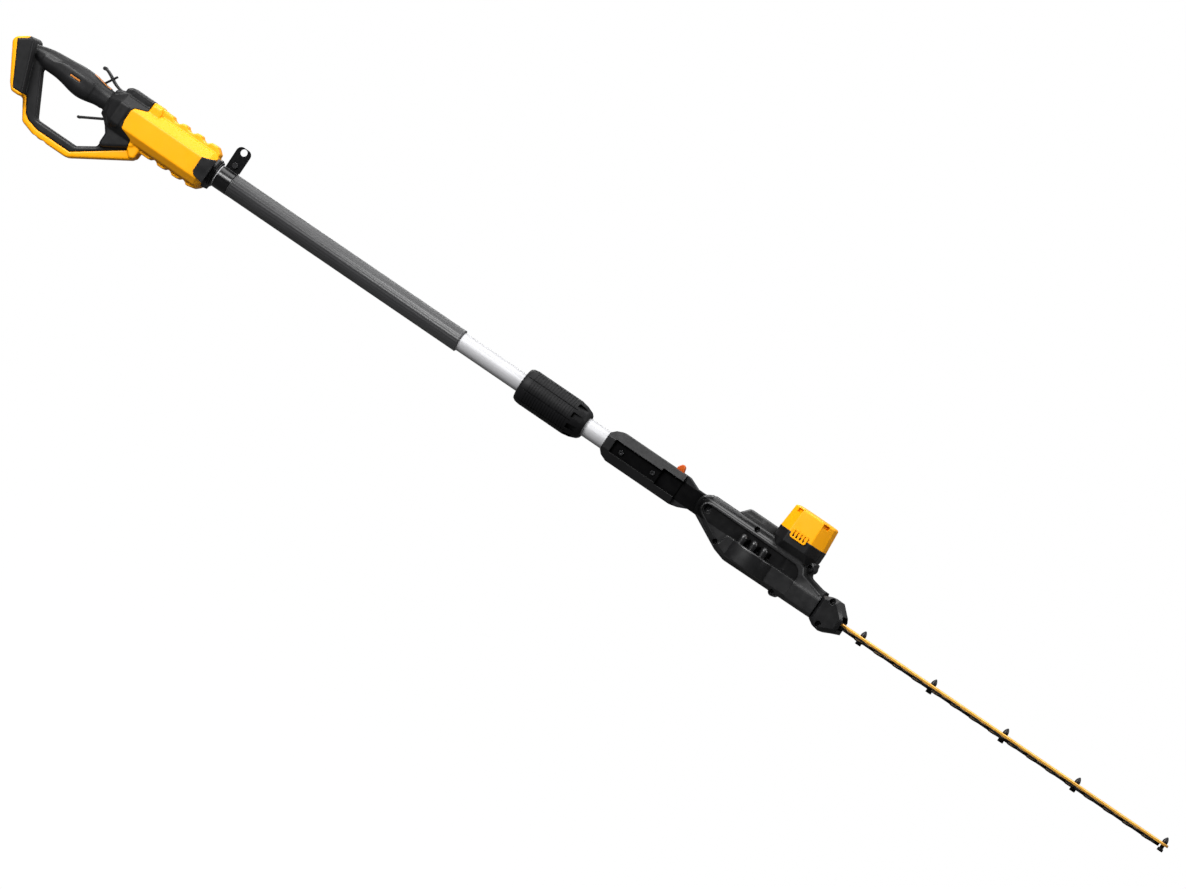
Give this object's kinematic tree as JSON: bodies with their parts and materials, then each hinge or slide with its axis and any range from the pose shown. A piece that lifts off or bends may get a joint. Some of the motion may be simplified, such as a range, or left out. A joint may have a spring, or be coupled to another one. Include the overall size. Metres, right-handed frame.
{
  "type": "pole hedge trimmer",
  "caption": "Battery pole hedge trimmer: rear loop handle, two-section pole with twist coupling, tilting drive head and long double-sided reciprocating blade.",
  "frame": {"origin": "on the pole's axis, inside the fore grip, 207.5 mm from its rear end", "axes": "+X along the pole towards the blade tip, +Z towards the motor and the strap hanger, +Y to the tool's left"},
  "size_m": [1.9946, 0.084, 0.1781],
  "materials": {
    "yellow_shell": "satin moulded plastic",
    "black_shell": "fine-textured moulded plastic",
    "soft_grip": "soft moulded rubber",
    "foam_sleeve": "matt foam rubber with fine lengthwise lines",
    "pole_alloy": "anodised satin",
    "clamp_steel": "gloss black coating",
    "orange_plastic": "satin",
    "steel": "plain",
    "dark_steel": "black oxide",
    "bar_coat": "amber coated steel",
    "blade_steel": "blackened with ground edges",
    "copper_parts": "plain",
    "board": "satin",
    "cable": "plain"
  },
  "bodies": {
    "handle_and_pole": {"housing_left": "yellow_shell", "housing_right": "yellow_shell", "overmould_left": "soft_grip", "overmould_right": "soft_grip", "nose_collar": "black_shell", "battery_terminals": "copper_parts", "handle_screws": "dark_steel", "grip_accents": "orange_plastic", "trigger_pin": "steel", "lock_off_pin": "steel", "switch_module": "black_shell", "control_board": "board", "handle_harness": "cable", "upper_tube": "pole_alloy", "fore_grip": "foam_sleeve", "hanger_clamp": "clamp_steel", "hanger_liner": "soft_grip", "hanger_bolt": "dark_steel", "outer_coupler": "black_shell", "power_socket": "black_shell"},
    "trigger": {"trigger": "black_shell"},
    "lock_off": {"lock_off_lever": "black_shell"},
    "lower_pole": {"inner_coupler": "black_shell", "power_plug": "copper_parts", "lower_tube": "pole_alloy", "arm_left": "black_shell", "arm_right": "black_shell", "arm_screws": "dark_steel"},
    "collar": {"coupling_collar": "black_shell"},
    "latch": {"latch_slider": "orange_plastic", "latch_plunger": "steel", "latch_spring": "steel"},
    "head": {"index_plate": "steel", "pivot_bolt": "dark_steel", "head_left": "black_shell", "head_right": "black_shell", "head_screws": "dark_steel", "motor_cap": "yellow_shell", "nose_guard": "black_shell", "nose_screws": "dark_steel", "motor_can": "steel", "motor_leads": "cable", "bearings": "steel", "gear_case": "pole_alloy", "base_plate": "steel", "guide_bar": "bar_coat", "blade_bolts": "dark_steel"},
    "rotor": {"rotor": "steel"},
    "crank": {"cam_gear": "steel"},
    "upper_blade": {"upper_blade": "blade_steel"},
    "lower_blade": {"lower_blade": "blade_steel"}
  },
  "joints": [
    {"name": "trigger_squeeze", "type": "hinge", "parent": "handle_and_pole", "child": "trigger", "pos_m": [-0.4, 0, -0.0173], "axis": [0, 1, 0], "range_deg": [0, 12], "stiffness_Nm_per_rad": 0.4, "springref_deg": -5.73},
    {"name": "lock_off_press", "type": "hinge", "parent": "handle_and_pole", "child": "lock_off", "pos_m": [-0.407, 0, 0.0215], "axis": [0, -1, 0], "range_deg": [0, 12], "stiffness_Nm_per_rad": 0.2, "springref_deg": -5.73},
    {"name": "pole_detach", "type": "slide", "parent": "handle_and_pole", "child": "lower_pole", "axis": [1, 0, 0], "range_m": [0, 0.08]},
    {"name": "collar_twist", "type": "hinge", "parent": "lower_pole", "child": "collar", "pos_m": [0.35, 0, 0], "axis": [1, 0, 0], "range_deg": [-90, 0]},
    {"name": "latch_pull", "type": "slide", "parent": "lower_pole", "child": "latch", "axis": [-1, 0, 0], "range_m": [0, 0.008]},
    {"name": "head_tilt", "type": "hinge", "parent": "lower_pole", "child": "head", "pos_m": [0.6163, 0, 0.002], "axis": [0, -1, 0], "range_deg": [-90, 90]},
    {"name": "crank_spin", "type": "hinge", "parent": "head", "child": "crank", "pos_m": [0.704, 0, -0.02], "axis": [0, 0, 1], "continuous": true},
    {"name": "motor_spin", "type": "hinge", "parent": "head", "child": "rotor", "pos_m": [0.7485, 0, 0.02], "axis": [0, 0, 1], "continuous": true},
    {"name": "upper_blade_stroke", "type": "slide", "parent": "head", "child": "upper_blade", "axis": [1, 0, 0], "range_m": [-0.006, 0.006]},
    {"name": "lower_blade_stroke", "type": "slide", "parent": "head", "child": "lower_blade", "axis": [1, 0, 0], "range_m": [-0.006, 0.006]}
  ],
  "couplings": [
    {"joint": "motor_spin", "follows": "crank_spin", "ratio": -5.3571},
    {"joint": "lower_blade_stroke", "follows": "upper_blade_stroke", "ratio": -1}
  ]
}
